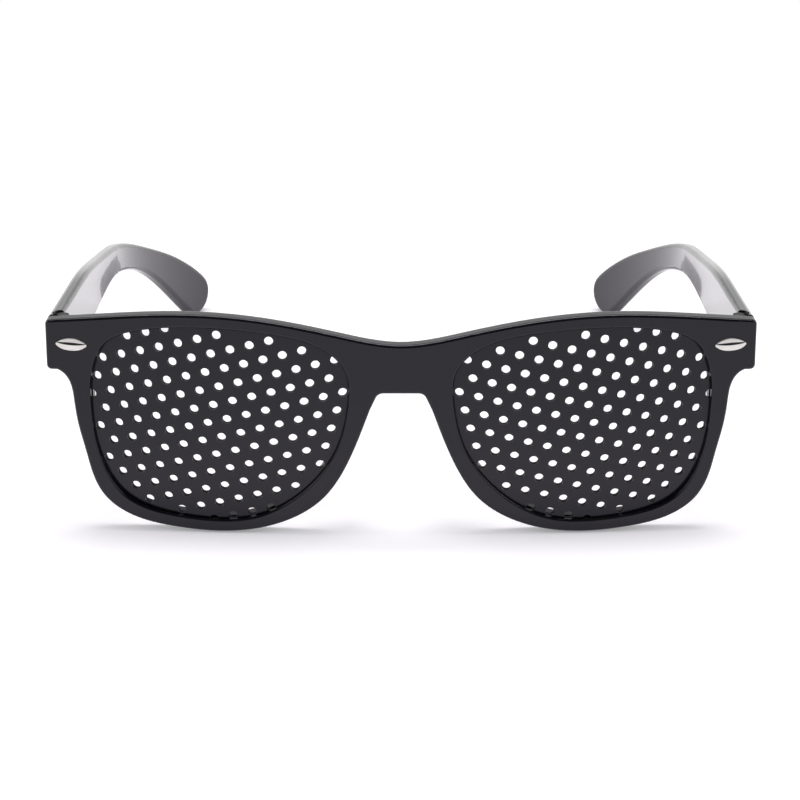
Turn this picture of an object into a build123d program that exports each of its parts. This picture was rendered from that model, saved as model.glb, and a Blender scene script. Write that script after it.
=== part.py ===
from build123d import *
from math import asin, atan2, cos, hypot, radians, sin, sqrt, tan
import os

os.makedirs("parts", exist_ok=True)

# Pinhole glasses, in millimetres. Every piece is drawn with the front upright:
# X to the wearer's left, Y from the front towards the ears, Z up, and the origin
# on the front surface between the lenses, at their mid-height. The pieces of the
# wearer's left side are drawn and the right side mirrors them. At the end all of
# them are set down on the plane that the rims and temple tips rest on.

# Lens openings, measured on the front surface
lens_width = 52.9
lens_height = 41.4
bridge_width = 21.6
opening_draft = 8

# Perforated lenses
lens_radius = 150
lens_thickness = 1.3
lens_crown = 0.97
lens_overlap = 1.0
lens_turn_in = 7.41
lens_turn_up = 1.69
groove_clearance = 0.05
hole_radius = 0.93
hole_pitch = 4.07
hole_row_angle = 12.92
first_hole_out = 1.15
first_hole_up = 4.52
hole_margin = -0.18
hole_field_drop = 0.2

# Moulded front
front_thickness = 4.0
wrap_radius = 700
brow_width = 2.68
rim_width = 2.6
rim_side_width = 3.45
end_piece_reach = 8.8
end_piece_height = 10.5
end_piece_drop = 1.78
brow_dip = 6.1
bridge_height = 10.3
sweep_reach = 2.1
arch_width = 9.4
arch_round = 1.7
corner_round = 1.0
front_edge_round = 0.6
rear_edge_round = 1.2
opening_edge_round = 0.5

# Moulded nose pads
pad_length = 15
pad_width = 3.3
pad_height = 5.2
pad_tilt = 24
pad_drop = 4.0
pad_flare = 0.9
pad_crown_share = 0.6

# Front ornament
ornament_length = 6.7
ornament_width = 2.54
ornament_base = 0.5
ornament_dome = 0.5
ornament_tilt = 3.2
ornament_inset = 5.28
ornament_drop = 5.0
ornament_recess = 0.35
ornament_gap = 0.14
ornament_pin_clearance = 0.04
ornament_end_round = 0.3
ornament_groove_width = 0.4
ornament_groove_length = 5.8
ornament_groove_depth = 0.3
ornament_groove_rise = 0.32
ornament_pin_radius = 0.5
ornament_pin_length = 1.2
ornament_pin_spacing = 3.0

# Hinge
barrel_radius = 1.85
barrel_height = 7.2
barrel_drop = 0.9
knuckle_gap = 0.1
hinge_gap = 0.12
leaf_thickness = 1.0
front_leaf_width = 5.4
front_web_width = 1.8
anchor_radius = 0.7
anchor_depth = 1.2
anchor_spacing = 5.0
temple_leaf_length = 13.0
temple_leaf_height = 4.4
seat_clearance = 0.05
screw_radius = 0.7
screw_fit = 0.04
screw_head_radius = 1.2
screw_head_height = 0.6
screw_slot_width = 0.35
screw_slot_depth = 0.3

# Temples
temple_length = 138.0
temple_thickness = 3.0
temple_height = 37.7
temple_gap = 0.3
temple_taper = 2.96
temple_straight = 77
ear_radius = 139
temple_edge_round = 1.0
tip_radius = 5.2
tip_start_turn = 42
tip_end_turn = -130
band_turn = 45
notch_clearance = 0.3

overrun = 4

# Shares of the rim's half width and half height, from the lens centre outwards:
# from under the end piece round the bottom of the rim to the nose arch
rim_shares = [
    (1.045, 0.412),
    (1.010, 0.296),
    (1.000, 0.190),
    (0.975, -0.039),
    (0.933, -0.262),
    (0.881, -0.517),
    (0.812, -0.684),
    (0.626, -0.864),
    (0.329, -0.965),
    (0.005, -1.000),
    (-0.408, -0.915),
    (-0.707, -0.683),
    (-0.886, -0.332),
    (-1.033, 0.146),
]
# Shares of the half width of the front and of the brow's dip, bridge to end piece
brow_shares = [(0.177, 0.330), (0.378, 0.792), (0.600, 1.000), (0.814, 0.889)]
# Shares of the lens opening's half width and half height, once round
opening_shares = [
    (1.011, 0.280),
    (0.989, 0.557),
    (0.884, 0.827),
    (0.626, 0.962),
    (0.180, 0.998),
    (-0.400, 0.935),
    (-0.806, 0.779),
    (-0.976, 0.557),
    (-0.995, 0.203),
    (-0.901, -0.258),
    (-0.699, -0.620),
    (-0.520, -0.810),
    (-0.238, -0.970),
    (0.047, -1.000),
    (0.371, -0.957),
    (0.556, -0.903),
    (0.754, -0.772),
    (0.928, -0.426),
    (0.998, -0.019),
]
# Shares of the temple's length and height, measured back and down from its top
# front corner: the upper edge to the round tip, then the lower edge forwards
temple_top_shares = [
    (0.000, 0.000),
    (0.144, 0.001),
    (0.265, 0.009),
    (0.405, 0.066),
    (0.641, 0.202),
    (0.805, 0.393),
    (0.941, 0.628),
]
temple_bottom_shares = [
    (0.910, 0.880),
    (0.846, 0.693),
    (0.750, 0.494),
    (0.644, 0.383),
    (0.485, 0.313),
    (0.208, 0.337),
    (0.000, 0.279),
]

# Places worked out from the sizes
half_width = bridge_width / 2 + lens_width + end_piece_reach
lens_x = (bridge_width + lens_width) / 2
brow_top = lens_height / 2 + brow_width
bridge_top = brow_top - brow_dip
end_piece_top = brow_top - end_piece_drop
end_piece_bottom = end_piece_top - end_piece_height


def wrap_depth(x):
    """How far the front surface lies behind the bridge at a distance x from it."""
    return wrap_radius - sqrt(wrap_radius**2 - x**2)


def rear_depth(x):
    """How far the rear surface lies behind the bridge at a distance x from it."""
    return wrap_radius - sqrt((wrap_radius - front_thickness) ** 2 - x**2)


rear_at_end = rear_depth(half_width)
hinge_x = half_width - temple_thickness
hinge_y = rear_depth(hinge_x) + hinge_gap + barrel_radius
barrel_top = end_piece_top - barrel_drop
barrel_bottom = barrel_top - barrel_height
knuckle_height = (barrel_height - 2 * knuckle_gap) / 3
lens_centre = Vector(
    lens_x - lens_turn_in,
    wrap_depth(lens_x) - lens_crown + lens_radius,
    lens_turn_up,
)


def depth_plane(y):
    """The plane that faces forwards at a depth y behind the bridge's front."""
    return Plane.XZ.offset(-y)


def opening_points(growth):
    """The lens opening's outline, grown by a length all round."""
    return [
        (lens_x + across * (lens_width / 2 + growth), up * (lens_height / 2 + growth))
        for across, up in opening_shares
    ]


# The lens opening, narrowing to the rear as it leaves its mould
with BuildPart() as opening:
    for depth in (-overrun, rear_at_end + overrun):
        with BuildSketch(depth_plane(depth)):
            with BuildLine():
                growth = (wrap_depth(lens_x) - depth) * tan(radians(opening_draft))
                Spline(opening_points(growth), periodic=True)
            make_face()
    loft(ruled=True)


def lens_shell(growth, clearance):
    """The domed lens blank, or with a clearance the groove that holds it."""
    with BuildPart() as shell:
        with BuildSketch(depth_plane(rear_at_end + overrun)):
            with BuildLine():
                Spline(opening_points(growth), periodic=True)
            make_face()
        extrude(amount=rear_at_end + 2 * overrun)
        with Locations(lens_centre):
            Sphere(lens_radius + clearance, mode=Mode.INTERSECT)
            Sphere(lens_radius - lens_thickness - clearance, mode=Mode.SUBTRACT)
    return shell.part


# Rows of holes at even steps along the lens, wrapped onto it from its middle
lens_middle = Vector(
    lens_turn_in,
    -sqrt(lens_radius**2 - lens_turn_in**2 - lens_turn_up**2),
    -lens_turn_up,
)
lens_axes = Plane(lens_centre, x_dir=Vector(0, 0, 1).cross(lens_middle), z_dir=lens_middle)
with BuildSketch() as hole_field:
    with BuildLine():
        Spline(opening_points(hole_margin), periodic=True)
    make_face()

row_turn = radians(hole_row_angle)
slant_turn = radians(60 + hole_row_angle)
hole_planes = []
row_count = int(lens_width / hole_pitch)
for row in range(-row_count, row_count):
    for place in range(-row_count, row_count):
        across = first_hole_out + hole_pitch * (row * cos(slant_turn) - place * cos(row_turn))
        up = first_hole_up + hole_pitch * (place * sin(row_turn) - row * sin(slant_turn))
        reach = hypot(across, up)
        turn = reach / lens_radius
        outward = Vector(sin(turn) * across / reach, sin(turn) * up / reach, cos(turn))
        middle = lens_axes.from_local_coords(outward * (lens_radius - lens_thickness / 2))
        if hole_field.face().is_inside(Vector(middle.X, middle.Z + hole_field_drop)):
            hole_planes.append(Plane(middle, z_dir=middle - lens_centre))

with BuildPart() as lens:
    add(lens_shell(lens_overlap, 0))
    with Locations(*hole_planes):
        Hole(hole_radius, depth=lens_thickness)

# The nose pad, a rounded ridge behind the nose side of the rim
pad_x = bridge_width / 2 + pad_flare
pad_foot = front_thickness / 2
pad_reach = front_thickness - pad_foot + pad_height
with BuildPart() as nose_pad:
    for rise, size in ((0, 1), (pad_crown_share, 1), (1, pad_crown_share)):
        with BuildSketch(depth_plane(pad_foot + rise * pad_reach)):
            with Locations(Location((pad_x + rise * pad_flare, -pad_drop), pad_tilt)):
                Ellipse(size * pad_width / 2, size * pad_length / 2)
    loft()

# The ornament's face lies on the front surface, tipped up at its outer end
ornament_x = half_width - ornament_inset
ornament_z = end_piece_top - ornament_drop
ornament_slope = ornament_x / (wrap_radius - wrap_depth(ornament_x))
ornament_face = Plane(
    origin=(ornament_x, wrap_depth(ornament_x), ornament_z),
    x_dir=(1, ornament_slope, tan(radians(ornament_tilt))),
    z_dir=(ornament_slope, -1, 0),
)
ornament_height = ornament_base + ornament_dome
ornament_crown = ornament_height - ornament_recess


def ornament_slab(growth):
    """The ornament's pointed oval at its full thickness, grown by a length."""
    half = ornament_length / 2 + growth
    rise = ornament_width / 2 + growth
    with BuildPart() as slab:
        with BuildSketch(ornament_face.offset(-ornament_recess)) as oval:
            with BuildLine():
                ThreePointArc((-half, 0), (0, rise), (half, 0))
                ThreePointArc((half, 0), (0, -rise), (-half, 0))
            make_face()
            fillet(oval.vertices(), ornament_end_round + growth)
        extrude(amount=ornament_height)
    return slab.part


def ornament_pins(growth):
    """The two pins behind the ornament, or with a growth the holes they fill."""
    with BuildPart() as pins:
        with BuildSketch(ornament_face.offset(-ornament_recess)):
            with GridLocations(ornament_pin_spacing, 0, 2, 1):
                Circle(ornament_pin_radius + growth)
        extrude(amount=-ornament_pin_length - growth)
    return pins.part


with BuildPart() as ornament:
    add(ornament_slab(0))
    for half_span, turned in ((ornament_length / 2, (90, 0, 0)), (ornament_width / 2, (0, 90, 0))):
        bow = (half_span**2 + ornament_dome**2) / (2 * ornament_dome)
        with Locations(ornament_face.offset(ornament_crown - bow)):
            Cylinder(bow, 2 * ornament_length, rotation=turned, mode=Mode.INTERSECT)
    with BuildSketch(ornament_face.offset(ornament_crown)):
        with Locations((0, ornament_groove_rise)):
            Ellipse(ornament_groove_length / 2, ornament_groove_width / 2)
    extrude(amount=-ornament_groove_depth, mode=Mode.SUBTRACT)
    add(ornament_pins(0))

# The hinge leaves meet the front on the plane that touches its rear at the hinge
rear_slope = hinge_x / (wrap_radius - rear_depth(hinge_x))
rear_plane = Plane(
    origin=(hinge_x, rear_depth(hinge_x), barrel_bottom + barrel_height / 2),
    x_dir=(1, rear_slope, 0),
    z_dir=(rear_slope, -1, 0),
)


def hinge_cylinder(radius, low, high, mode=Mode.ADD):
    """A cylinder about the hinge's axis between two heights."""
    with Locations((hinge_x, hinge_y, low)):
        Cylinder(radius, high - low, align=(Align.CENTER, Align.CENTER, Align.MIN), mode=mode)


def front_leaf(growth):
    """The leaf in the end piece with its anchors, or with a growth their seat."""
    with BuildPart() as leaf:
        with BuildSketch(rear_plane.offset(-growth)):
            with Locations((front_web_width / 2 - front_leaf_width / 2, 0)):
                Rectangle(front_leaf_width + 2 * growth, barrel_height + 2 * growth)
        extrude(amount=leaf_thickness + 2 * growth)
        with BuildSketch(rear_plane):
            with Locations((front_web_width / 2 - front_leaf_width + 2 * anchor_radius, 0)):
                with GridLocations(0, anchor_spacing, 1, 2):
                    Circle(anchor_radius + growth)
        extrude(amount=leaf_thickness + anchor_depth + growth)
    return leaf.part


middle_low = barrel_bottom + knuckle_height + knuckle_gap
middle_high = barrel_top - knuckle_height - knuckle_gap
with BuildPart() as front_hinge:
    add(front_leaf(0))
    for low in (barrel_bottom, barrel_top - knuckle_height):
        hinge_cylinder(barrel_radius, low, low + knuckle_height)
        with BuildSketch(Plane.XY.offset(low)):
            with Locations((hinge_x, hinge_y)):
                Rectangle(
                    front_web_width,
                    hinge_gap + barrel_radius + leaf_thickness / 2,
                    align=(Align.CENTER, Align.MAX),
                )
        extrude(amount=knuckle_height)
    hinge_cylinder(screw_radius + screw_fit, barrel_bottom, barrel_top, mode=Mode.SUBTRACT)

with BuildPart() as screw:
    hinge_cylinder(screw_radius, barrel_bottom, barrel_top)
    hinge_cylinder(screw_head_radius, barrel_top, barrel_top + screw_head_height)
    with BuildSketch(Plane.XY.offset(barrel_top + screw_head_height)):
        with Locations((hinge_x, hinge_y)):
            Rectangle(3 * screw_head_radius, screw_slot_width)
    extrude(amount=-screw_slot_depth, mode=Mode.SUBTRACT)


def temple_leaf(growth):
    """The leaf in the temple, or with a growth the slot that holds it."""
    leaf_bottom = (barrel_bottom + barrel_top - temple_leaf_height) / 2
    with BuildPart() as leaf:
        for low, high, start in (
            (middle_low, middle_high, 0),
            (leaf_bottom, leaf_bottom + temple_leaf_height, barrel_radius + notch_clearance),
        ):
            with BuildSketch(Plane.XY.offset(low - growth)):
                with Locations((hinge_x + barrel_radius + growth, hinge_y + start)):
                    Rectangle(
                        leaf_thickness + 2 * growth,
                        temple_leaf_length - start + growth,
                        align=(Align.MAX, Align.MIN),
                    )
            extrude(amount=high - low + 2 * growth)
    return leaf.part


with BuildPart() as temple_hinge:
    add(temple_leaf(0))
    hinge_cylinder(barrel_radius, middle_low, middle_high)
    hinge_cylinder(screw_radius + screw_fit, middle_low, middle_high, mode=Mode.SUBTRACT)

# The front: its outline, curved to the wrap, then opened for all that it carries
with BuildPart() as front:
    with BuildSketch(depth_plane(rear_at_end + overrun)) as outline:
        with BuildLine():
            brow = [
                (across * half_width, bridge_top + rise * brow_dip)
                for across, rise in brow_shares
            ] + [(half_width, end_piece_top)]
            Spline([(-x, z) for x, z in reversed(brow)] + [(0, bridge_top)] + brow)
            arch_z = bridge_top - bridge_height
            for side in (1, -1):
                rim = [
                    (
                        side * (lens_x + across * (lens_width / 2 + rim_side_width)),
                        up * (lens_height / 2 + rim_width),
                    )
                    for across, up in rim_shares
                ]
                under = (side * (half_width - sweep_reach), end_piece_bottom)
                Polyline(
                    (side * half_width, end_piece_top),
                    (side * half_width, end_piece_bottom),
                    under,
                )
                Spline([under] + rim)
                Polyline(rim[-1], (side * arch_width / 2, arch_z), (0, arch_z))
        make_face()
        corners = outline.vertices().filter_by(
            lambda vertex: abs(abs(vertex.X) - half_width) < corner_round
        )
        fillet(corners, corner_round)
        arch_corners = outline.vertices().filter_by(
            lambda vertex: 0 < abs(vertex.X) < bridge_width / 4
        )
        fillet(arch_corners, arch_round)
    extrude(amount=rear_at_end + 2 * overrun)
    with Locations((0, wrap_radius, 0)):
        Cylinder(wrap_radius, 3 * lens_height, mode=Mode.INTERSECT)
        Cylinder(wrap_radius - front_thickness, 3 * lens_height, mode=Mode.SUBTRACT)
    skins = front.faces().sort_by(SortBy.AREA)[-2:].sort_by(Axis.Y)
    fillet(skins[0].outer_wire().edges(), front_edge_round)
    skins = front.faces().sort_by(SortBy.AREA)[-2:].sort_by(Axis.Y)
    fillet(skins[1].outer_wire().edges(), rear_edge_round)
    add(nose_pad.part)
    mirror(nose_pad.part, about=Plane.YZ)
    add(opening.part, mode=Mode.SUBTRACT)
    mirror(opening.part, about=Plane.YZ, mode=Mode.SUBTRACT)
    skins = front.faces().sort_by(SortBy.AREA)[-2:].sort_by(Axis.Y)
    opening_edges = [edge for wire in skins[0].inner_wires() for edge in wire.edges()]
    fillet(opening_edges, opening_edge_round)
    for hollow in (
        lens_shell(lens_overlap + groove_clearance, groove_clearance),
        front_leaf(seat_clearance),
        ornament_slab(ornament_gap),
        ornament_pins(ornament_pin_clearance),
    ):
        add(hollow, mode=Mode.SUBTRACT)
        mirror(hollow, about=Plane.YZ, mode=Mode.SUBTRACT)

# The temple: its side view, cut to the band it makes when seen from above
temple_start = rear_at_end + temple_gap
tip_y = temple_start + temple_length - tip_radius
tip_z = end_piece_top - temple_height + tip_radius


def temple_points(shares):
    """Places on the temple's side view, in depth and height."""
    return [
        (temple_start + back * temple_length, end_piece_top - down * temple_height)
        for back, down in shares
    ]


def tip_point(turn):
    """The place on the tip's round at an angle above the horizontal."""
    return tip_y + tip_radius * cos(radians(turn)), tip_z + tip_radius * sin(radians(turn))


def tip_way(turn):
    """The way the outline runs past that place."""
    return sin(radians(turn)), -cos(radians(turn))


with BuildPart() as temple:
    with BuildSketch(Plane.YZ):
        with BuildLine():
            upper = Spline(
                temple_points(temple_top_shares) + [tip_point(tip_start_turn)],
                tangents=(Vector(1, 0), tip_way(tip_start_turn)),
            )
            ThreePointArc(
                tip_point(tip_start_turn),
                tip_point((tip_start_turn + tip_end_turn) / 2),
                tip_point(tip_end_turn),
            )
            lower = Spline(
                [tip_point(tip_end_turn)] + temple_points(temple_bottom_shares),
                tangents=(tip_way(tip_end_turn), Vector(-1, 0)),
            )
            Line(lower @ 1, upper @ 0)
        make_face()
    extrude(amount=half_width + overrun)
    with BuildSketch(Plane.XY.offset(-temple_height)):
        with BuildLine():
            middle = half_width - temple_thickness / 2
            straight = Line(
                (middle + temple_taper * overrun / temple_straight, temple_start - overrun),
                (middle - temple_taper, temple_start + temple_straight),
            )
            JernArc(straight @ 1, straight % 1, ear_radius - temple_thickness / 2, band_turn)
        trace(line_width=temple_thickness)
    extrude(amount=2 * temple_height, mode=Mode.INTERSECT)
    long_edges = temple.edges().filter_by(Axis.X, reverse=True).filter_by(Axis.Z, reverse=True)
    fillet(long_edges, temple_edge_round)
    hinge_cylinder(
        barrel_radius + notch_clearance,
        barrel_bottom - notch_clearance,
        end_piece_top + temple_height,
        mode=Mode.SUBTRACT,
    )
    add(temple_leaf(seat_clearance), mode=Mode.SUBTRACT)

# The lean: the plane that touches both the rims' rear edge and the temple tips
rim_y = rear_depth(lens_x) - rear_edge_round
rim_z = rear_edge_round - lens_height / 2 - rim_width
lean = atan2(tip_z - rim_z, tip_y - rim_y) - asin(
    (tip_radius - rear_edge_round) / hypot(tip_z - rim_z, tip_y - rim_y)
)
leaning = Plane(origin=(0, 0, 0), x_dir=(1, 0, 0), z_dir=(0, sin(lean), cos(lean)))
with BuildPart(leaning) as leaning_front:
    add(front.part)
with BuildPart(leaning) as leaning_temple:
    add(temple.part)
front_box = leaning_front.part.bounding_box()
temple_box = leaning_temple.part.bounding_box()
resting = Plane(
    origin=(0, -(front_box.min.Y + temple_box.max.Y) / 2, -front_box.min.Z),
    x_dir=(1, 0, 0),
    z_dir=(0, sin(lean), cos(lean)),
)

with BuildPart(resting) as front_frame:
    add(front.part)
front_frame.part.label = "front_frame"
export_step(front_frame.part, "parts/front_frame.step")

with BuildPart(resting) as left_pinhole_lens:
    add(lens.part)
left_pinhole_lens.part.label = "left_pinhole_lens"
export_step(left_pinhole_lens.part, "parts/left_pinhole_lens.step")

with BuildPart() as right_pinhole_lens:
    mirror(left_pinhole_lens.part, about=Plane.YZ)
right_pinhole_lens.part.label = "right_pinhole_lens"
export_step(right_pinhole_lens.part, "parts/right_pinhole_lens.step")

with BuildPart(resting) as left_temple:
    add(temple.part)
left_temple.part.label = "left_temple"
export_step(left_temple.part, "parts/left_temple.step")

with BuildPart() as right_temple:
    mirror(left_temple.part, about=Plane.YZ)
right_temple.part.label = "right_temple"
export_step(right_temple.part, "parts/right_temple.step")

with BuildPart(resting) as left_front_hinge:
    add(front_hinge.part)
left_front_hinge.part.label = "left_front_hinge"
export_step(left_front_hinge.part, "parts/left_front_hinge.step")

with BuildPart() as right_front_hinge:
    mirror(left_front_hinge.part, about=Plane.YZ)
right_front_hinge.part.label = "right_front_hinge"
export_step(right_front_hinge.part, "parts/right_front_hinge.step")

with BuildPart(resting) as left_temple_hinge:
    add(temple_hinge.part)
left_temple_hinge.part.label = "left_temple_hinge"
export_step(left_temple_hinge.part, "parts/left_temple_hinge.step")

with BuildPart() as right_temple_hinge:
    mirror(left_temple_hinge.part, about=Plane.YZ)
right_temple_hinge.part.label = "right_temple_hinge"
export_step(right_temple_hinge.part, "parts/right_temple_hinge.step")

with BuildPart(resting) as left_hinge_screw:
    add(screw.part)
left_hinge_screw.part.label = "left_hinge_screw"
export_step(left_hinge_screw.part, "parts/left_hinge_screw.step")

with BuildPart() as right_hinge_screw:
    mirror(left_hinge_screw.part, about=Plane.YZ)
right_hinge_screw.part.label = "right_hinge_screw"
export_step(right_hinge_screw.part, "parts/right_hinge_screw.step")

with BuildPart(resting) as left_ornament:
    add(ornament.part)
left_ornament.part.label = "left_ornament"
export_step(left_ornament.part, "parts/left_ornament.step")

with BuildPart() as right_ornament:
    mirror(left_ornament.part, about=Plane.YZ)
right_ornament.part.label = "right_ornament"
export_step(right_ornament.part, "parts/right_ornament.step")
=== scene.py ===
from math import atan, cos, radians, sin

import bpy
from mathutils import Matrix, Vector

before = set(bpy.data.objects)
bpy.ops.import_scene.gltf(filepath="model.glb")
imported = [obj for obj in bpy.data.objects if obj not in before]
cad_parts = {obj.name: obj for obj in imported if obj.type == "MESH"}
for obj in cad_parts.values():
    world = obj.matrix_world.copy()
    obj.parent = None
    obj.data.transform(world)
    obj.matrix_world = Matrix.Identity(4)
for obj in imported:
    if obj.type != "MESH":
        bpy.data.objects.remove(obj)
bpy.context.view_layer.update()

# Lengths are in metres, apart from those whose name ends in _MM.
MM = 0.001

# How the glasses lie on the table: they lean back onto the tips of the temples.
LEAN = radians(3.0042)
FRONT_TO_MIDDLE_MM = 72.32
FRONT_TO_TABLE_MM = 23.469


def in_the_hand(x, y, z):
    """A place given with the front upright, in mm, as it lies on the table, in metres."""
    return Vector(
        (
            x * MM,
            (y * cos(LEAN) + z * sin(LEAN) - FRONT_TO_MIDDLE_MM) * MM,
            (z * cos(LEAN) - y * sin(LEAN) + FRONT_TO_TABLE_MM) * MM,
        )
    )


class Shade:
    """A shader socket that takes part in sums."""

    def __init__(self, tree, socket):
        self.tree = tree
        self.socket = socket

    def math(self, operation, *values):
        node = self.tree.nodes.new("ShaderNodeMath")
        node.operation = operation
        for place, value in zip(node.inputs, values):
            if isinstance(value, Shade):
                self.tree.links.new(value.socket, place)
            else:
                place.default_value = value
        return Shade(self.tree, node.outputs[0])

    def __add__(self, other):
        return self.math("ADD", self, other)

    def __sub__(self, other):
        return self.math("SUBTRACT", self, other)

    def __rsub__(self, other):
        return self.math("SUBTRACT", other, self)

    def __mul__(self, other):
        return self.math("MULTIPLY", self, other)

    def __truediv__(self, other):
        return self.math("DIVIDE", self, other)

    def __abs__(self):
        return self.math("ABSOLUTE", self)

    def root(self):
        return self.math("SQRT", self)

    def either(self, other):
        """The larger of the two."""
        return self.math("MAXIMUM", self, other)

    def step(self, low, high):
        """Rises smoothly from 0 to 1 between two values."""
        node = self.tree.nodes.new("ShaderNodeMapRange")
        node.interpolation_type = "SMOOTHSTEP"
        self.tree.links.new(self.socket, node.inputs["Value"])
        node.inputs["From Min"].default_value = low
        node.inputs["From Max"].default_value = high
        return Shade(self.tree, node.outputs["Result"])


class Finish:
    """A material under construction, with its own Principled shader."""

    def __init__(self, name):
        self.material = bpy.data.materials.new(name)
        self.material.use_nodes = True
        self.tree = self.material.node_tree
        self.surface = self.tree.nodes["Principled BSDF"]
        self.output = self.tree.nodes["Material Output"]
        self.place = self.make("ShaderNodeTexCoord").outputs["Object"]

    def make(self, kind, settings=None, **sockets):
        node = self.tree.nodes.new(kind)
        for key, value in (settings or {}).items():
            setattr(node, key, value)
        for key, value in sockets.items():
            self.put(node.inputs[key.replace("_", " ")], value)
        return node

    def put(self, place, value):
        """Links or sets one input."""
        if isinstance(value, Shade):
            value = value.socket
        if isinstance(value, bpy.types.NodeSocket):
            self.tree.links.new(value, place)
        else:
            place.default_value = value

    def set(self, **sockets):
        """Links or sets inputs of the Principled shader."""
        for key, value in sockets.items():
            self.put(self.surface.inputs[key.replace("_", " ")], value)

    def value(self, socket):
        return Shade(self.tree, socket)

    def axes(self):
        """The three Object coordinates, in metres."""
        node = self.make("ShaderNodeSeparateXYZ", Vector=self.place)
        return tuple(self.value(node.outputs[name]) for name in "XYZ")

    def noise(self, scale, detail, rough, stretch=(1.0, 1.0, 1.0)):
        """Noise whose scale is counted per metre, drawn out where stretch is below 1."""
        place = self.make("ShaderNodeMapping", Vector=self.place)
        place.inputs["Scale"].default_value = stretch
        node = self.make(
            "ShaderNodeTexNoise", Vector=place.outputs["Vector"], Scale=scale, Detail=detail
        )
        node.inputs["Roughness"].default_value = rough
        return self.value(node.outputs["Fac"])

    def blend(self, factor, low, high):
        """A colour between two, by a factor. Each is a colour or a colour socket."""
        node = self.make("ShaderNodeMix", {"data_type": "RGBA"})
        self.put(node.inputs["Factor"], factor)
        places = [place for place in node.inputs if place.type == "RGBA"]
        for place, colour in zip(places, (low, high)):
            self.put(place, (*colour, 1.0) if isinstance(colour, tuple) else colour)
        return next(place for place in node.outputs if place.type == "RGBA")

    def bump(self, height, depth):
        """A bump whose full height is given in metres."""
        node = self.make("ShaderNodeBump", Height=height)
        node.inputs["Strength"].default_value = 1.0
        node.inputs["Distance"].default_value = depth
        return node.outputs["Normal"]


# The black plastic. Noise scales are counted per metre.
GRAIN_SCALE = 5200.0
HAZE_SCALE = 60.0
FLOW_SCALE = 35.0
STREAK_SCALE = 900.0
PLASTIC_GLOSS = 0.42
PLASTIC_GLOSS_TINT = (0.92, 0.89, 1.0, 1.0)

# The face of each lens is cut from a sphere. Its drilled hole walls lie behind that face.
DOME_RADIUS = 0.150
DOME_CENTRE = in_the_hand(29.84, 150.022, 1.69)
HOLE_WALL_FULL_DEPTH = 0.0002
HOLE_WALL_FIRST_DEPTH = 0.00005
DRILLED_ROUGHNESS = 0.55

# Each temple is glossier at its hinge than at its ear part.
HINGE_END_GLOSS = 0.85
EAR_PART_GLOSS = 0.15
GLOSS_FADE_START_Y = -0.025
GLOSS_FADE_END_Y = 0.045


def hole_walls(finish):
    """1 on the drilled walls of a lens and on its rear, 0 on its front face."""
    x, y, z = finish.axes()
    x, y, z = abs(x) - DOME_CENTRE.x, y - DOME_CENTRE.y, z - DOME_CENTRE.z
    from_centre = (x * x + y * y + z * z).root()
    return 1.0 - from_centre.step(
        DOME_RADIUS - HOLE_WALL_FULL_DEPTH, DOME_RADIUS - HOLE_WALL_FIRST_DEPTH
    )


def moulded_plastic(
    name, dark, light, rough, grain_depth, streaks=None, drilled=False, fading_gloss=False
):
    """Black injection-moulded plastic: fine grain, faint flow marks and handling haze."""
    finish = Finish(name)
    grain = finish.noise(GRAIN_SCALE, 2.0, 0.6)
    haze = finish.noise(HAZE_SCALE, 4.0, 0.55)
    if streaks:
        flow = finish.noise(STREAK_SCALE, 3.0, 0.6, streaks)
    else:
        flow = finish.noise(FLOW_SCALE, 2.0, 0.5)
    shade = grain * 0.35 + flow * 0.35 + haze * 0.3
    roughness = haze * 0.10 + flow * 0.06 + (rough - 0.08)
    if drilled:
        roughness = roughness + hole_walls(finish) * DRILLED_ROUGHNESS
    if fading_gloss:
        ear_part = finish.axes()[1].step(GLOSS_FADE_START_Y, GLOSS_FADE_END_Y)
        finish.set(Coat_Weight=HINGE_END_GLOSS - ear_part * (HINGE_END_GLOSS - EAR_PART_GLOSS))
    finish.set(
        Base_Color=finish.blend(shade.step(0.3, 0.7), dark, light),
        Roughness=roughness,
        IOR=1.5,
        Normal=finish.bump(grain + flow * 0.5, grain_depth),
        Specular_IOR_Level=PLASTIC_GLOSS,
        Specular_Tint=PLASTIC_GLOSS_TINT,
    )
    return finish.material


# The metal of the hinges, screws and ornaments.
TOOL_MARK_SCALE = 2600.0
TOOL_MARK_STRETCH = (1.0, 1.0, 6.0)
TOOL_MARK_DEPTH = 4e-6
SPOT_SCALE = 700.0

# The groove along each ornament is coloured near-black as painted shade in its recess; it leans
# out and up like the ornament.
GROOVE_PAINTED_SHADE = (0.012, 0.011, 0.011)
GROOVE_X = 0.06722
GROOVE_Z = 0.04021
GROOVE_SLOPE = 0.056
GROOVE_HALF_LENGTH = 0.003
GROOVE_HALF_WIDTH = 0.00027


def outside_groove_shade(finish):
    """0 in the pointed groove of an ornament, where shade is painted, 1 on its bare metal."""
    x, _, z = finish.axes()
    out = abs(x) - GROOVE_X
    rise = z - out * GROOVE_SLOPE - GROOVE_Z
    along = out / GROOVE_HALF_LENGTH
    across = rise / GROOVE_HALF_WIDTH
    return (along * along + across * across).step(0.75, 1.25)


def turned_metal(name, bright, worn, rough, polish=1.0, groove=False):
    """Metal with fine tool marks, worn spots and, on the ornament, painted shade in its groove.
    """
    finish = Finish(name)
    marks = finish.noise(TOOL_MARK_SCALE, 3.0, 0.6, TOOL_MARK_STRETCH)
    spots = finish.noise(SPOT_SCALE, 3.0, 0.5)
    colour = finish.blend(spots.step(0.35, 0.7), worn, bright)
    metallic = polish
    # Painted shade: the groove is coloured near-black and made non-metallic.
    if groove:
        bare = outside_groove_shade(finish)
        colour = finish.blend(bare, GROOVE_PAINTED_SHADE, colour)
        metallic = bare * polish
    finish.set(
        Base_Color=colour,
        Metallic=metallic,
        Roughness=marks * 0.12 + spots * 0.08 + (rough - 0.1),
        Normal=finish.bump(marks, TOOL_MARK_DEPTH),
    )
    return finish.material


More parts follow.
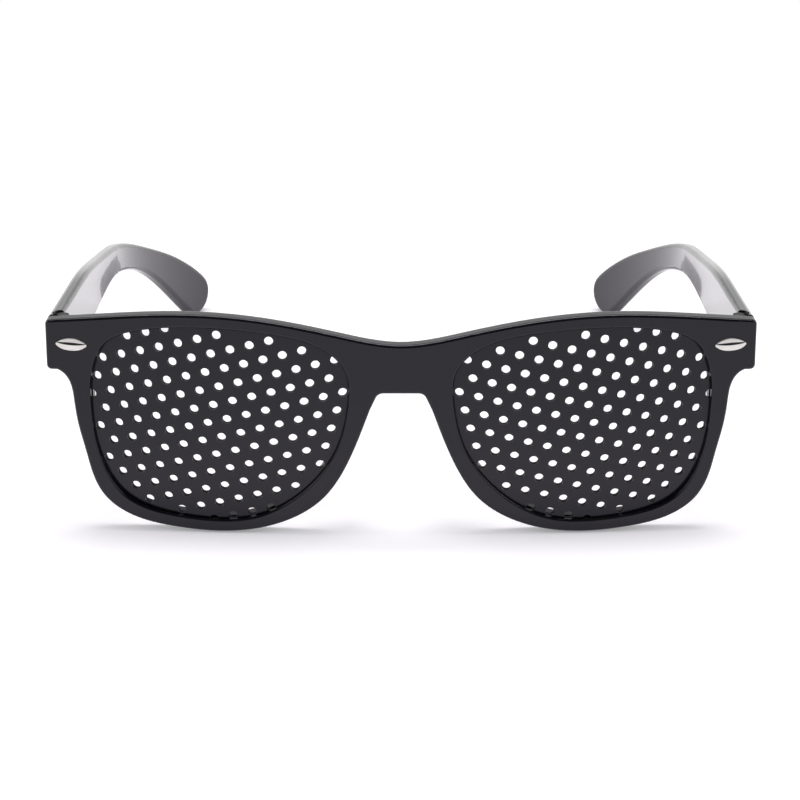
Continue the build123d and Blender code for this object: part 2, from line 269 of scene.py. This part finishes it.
FRONT_BLACK = moulded_plastic(
    "front_black",
    dark=(0.0030, 0.0030, 0.0042),
    light=(0.0050, 0.0050, 0.0066),
    rough=0.20,
    grain_depth=3e-6,
)
TEMPLE_BLACK = moulded_plastic(
    "temple_black",
    dark=(0.0070, 0.0066, 0.0084),
    light=(0.0125, 0.0115, 0.0135),
    rough=0.10,
    grain_depth=2e-6,
    streaks=(1.0, 0.06, 1.0),
    fading_gloss=True,
)
LENS_BLACK = moulded_plastic(
    "lens_black",
    dark=(0.0030, 0.0030, 0.0042),
    light=(0.0055, 0.0053, 0.0068),
    rough=0.22,
    grain_depth=4e-6,
    drilled=True,
)
HINGE_STEEL = turned_metal(
    "hinge_steel", bright=(0.38, 0.36, 0.34), worn=(0.20, 0.19, 0.18), rough=0.34
)
SCREW_STEEL = turned_metal(
    "screw_steel", bright=(0.10, 0.10, 0.10), worn=(0.05, 0.05, 0.05), rough=0.38
)
# The ornament is near-white and barely metallic: painted reflection, standing in for the bright
# room its polished metal mirrors. Its groove is near-black painted shade.
ORNAMENT_METAL_PAINTED_REFLECTION = turned_metal(
    "ornament_metal",
    bright=(1.0, 0.97, 0.94),
    worn=(0.97, 0.92, 0.89),
    rough=0.24,
    polish=0.12,
    groove=True,
)


def dress(node, material):
    """Gives a CAD piece its finish."""
    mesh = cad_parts[node].data
    mesh.materials.clear()
    mesh.materials.append(material)


dress("front_frame", FRONT_BLACK)
for side in ("left", "right"):
    dress(side + "_pinhole_lens", LENS_BLACK)
    dress(side + "_temple", TEMPLE_BLACK)
    dress(side + "_front_hinge", HINGE_STEEL)
    dress(side + "_temple_hinge", HINGE_STEEL)
    dress(side + "_hinge_screw", SCREW_STEEL)
    dress(side + "_ornament", ORNAMENT_METAL_PAINTED_REFLECTION)


def seen_rays(tree):
    """1 for what the camera and glossy surfaces see, 0 for what only gives light."""
    path = tree.nodes.new("ShaderNodeLightPath")
    camera, gloss, through = (
        Shade(tree, path.outputs[name])
        for name in ("Is Camera Ray", "Is Glossy Ray", "Is Transmission Ray")
    )
    return camera.either(gloss).either(through)


# The table keeps the shadow near the glasses and is plain white further out.
TABLE_SIZE = 6.0
TABLE_DROP = 0.0002
TABLE_COLOUR = (0.93, 0.90, 0.94, 1.0)
TABLE_LIFT = 0.27
SHADOW_REACH = 0.10
PLAIN_WHITE_REACH = 0.22


def white_table():
    """The pale floor: it keeps the shadow by the glasses and turns plain white away from them."""
    bpy.ops.mesh.primitive_plane_add(size=TABLE_SIZE, location=(0, 0, -TABLE_DROP))
    floor = bpy.context.object
    floor.name = "table"
    finish = Finish("table_white")
    lift = seen_rays(finish.tree) * TABLE_LIFT
    lift_colour = finish.make("ShaderNodeCombineXYZ", X=lift, Y=lift, Z=lift)
    finish.set(
        Base_Color=TABLE_COLOUR,
        Roughness=0.7,
        Specular_IOR_Level=0.1,
        Emission_Color=lift_colour.outputs[0],
        Emission_Strength=1.0,
    )
    length = finish.make("ShaderNodeVectorMath", {"operation": "LENGTH"}, Vector=finish.place)
    reach = finish.value(length.outputs["Value"])
    plain_white = finish.make("ShaderNodeEmission", Color=(1, 1, 1, 1), Strength=1.0)
    mix = finish.make("ShaderNodeMixShader")
    finish.put(mix.inputs[0], reach.step(SHADOW_REACH, PLAIN_WHITE_REACH))
    finish.put(mix.inputs[1], finish.surface.outputs[0])
    finish.put(mix.inputs[2], plain_white.outputs[0])
    finish.put(finish.output.inputs["Surface"], mix.outputs[0])
    floor.data.materials.append(finish.material)


# The room as a glossy surface sees it: a share of full white for each direction.
DARK_WALL = 0.03
WHITE_WALL = 0.97
HIGH_WALL_LOSS = 0.42
ROOM_LIGHT = 0.38
ROOM_COLOUR = (0.97, 0.97, 1.0, 1)


def studio_room():
    """White behind and low down, dark before and above the object, and even light on it."""
    world = bpy.context.scene.world or bpy.data.worlds.new("studio")
    bpy.context.scene.world = world
    world.use_nodes = True
    tree = world.node_tree
    tree.nodes.clear()
    way = tree.nodes.new("ShaderNodeTexCoord").outputs["Generated"]
    axes = tree.nodes.new("ShaderNodeSeparateXYZ")
    tree.links.new(way, axes.inputs[0])
    y, z = (Shade(tree, axes.outputs[name]) for name in "YZ")
    behind = y.step(-0.10, 0.02) * (1.0 - z.step(0.10, 0.30) * HIGH_WALL_LOSS)
    low_down = 1.0 - z.step(0.10, 0.22)
    wall = behind.either(low_down) * WHITE_WALL + DARK_WALL
    path = tree.nodes.new("ShaderNodeLightPath")
    to_camera = Shade(tree, path.outputs["Is Camera Ray"])
    seen = tree.nodes.new("ShaderNodeBackground")
    seen.inputs["Color"].default_value = (1, 1, 1, 1)
    tree.links.new(wall.either(to_camera).socket, seen.inputs["Strength"])
    room = tree.nodes.new("ShaderNodeBackground")
    room.inputs["Color"].default_value = ROOM_COLOUR
    room.inputs["Strength"].default_value = ROOM_LIGHT
    mix = tree.nodes.new("ShaderNodeMixShader")
    out = tree.nodes.new("ShaderNodeOutputWorld")
    tree.links.new(seen_rays(tree).socket, mix.inputs[0])
    tree.links.new(room.outputs[0], mix.inputs[1])
    tree.links.new(seen.outputs[0], mix.inputs[2])
    tree.links.new(mix.outputs[0], out.inputs["Surface"])


def soft_box(name, place, aim, size, power, colour):
    """An area lamp that faces the object, with its power in watts."""
    lamp = bpy.data.lights.new(name, "AREA")
    lamp.shape = "RECTANGLE"
    lamp.size, lamp.size_y = size
    lamp.energy = power
    lamp.color = colour
    box = bpy.data.objects.new(name, lamp)
    bpy.context.scene.collection.objects.link(box)
    box.location = place
    box.rotation_mode = "QUATERNION"
    box.rotation_quaternion = (Vector(aim) - Vector(place)).to_track_quat("-Z", "Y")


# Where the hole pattern and the outline put the camera, seen from the upright front.
CAMERA_DISTANCE_MM = 520.0 * 145.0 / 144.52
CAMERA_RISE = radians(18.4)
CAMERA_AIM_Z_MM = 0.6
PICTURE_PX = 800
FOCAL_PX = 520.0 / 0.2039
AIM_BELOW_PX = 24
AIM_ASIDE_PX = 1.0
SENSOR_MM = 36.0


def photo_camera():
    """Stands where the photograph's camera stood."""
    cam = bpy.data.cameras.new("photo_camera")
    cam.sensor_width = SENSOR_MM
    cam.lens = SENSOR_MM * FOCAL_PX / PICTURE_PX
    cam.clip_start, cam.clip_end = 0.01, 20.0
    eye = bpy.data.objects.new("photo_camera", cam)
    bpy.context.scene.collection.objects.link(eye)
    eye.location = in_the_hand(
        0,
        -CAMERA_DISTANCE_MM * cos(CAMERA_RISE),
        CAMERA_AIM_Z_MM + CAMERA_DISTANCE_MM * sin(CAMERA_RISE),
    )
    down = CAMERA_RISE + LEAN - atan(AIM_BELOW_PX / FOCAL_PX)
    eye.rotation_euler = (radians(90) - down, 0, atan(AIM_ASIDE_PX / FOCAL_PX))
    bpy.context.scene.camera = eye


white_table()
studio_room()
soft_box(
    "overhead_box",
    place=(0.0, 0.12, 1.05),
    aim=(0, 0, 0),
    size=(0.8, 0.4),
    power=7.0,
    colour=(1, 0.99, 0.98),
)
for name, across in (("left_box", -1.0), ("right_box", 1.0)):
    soft_box(
        name,
        place=(across, -0.4, 0.6),
        aim=(0, 0, 0.02),
        size=(0.3, 0.6),
        power=2.0,
        colour=(0.96, 0.975, 1),
    )
photo_camera()
bpy.context.scene.view_settings.view_transform = "Standard"
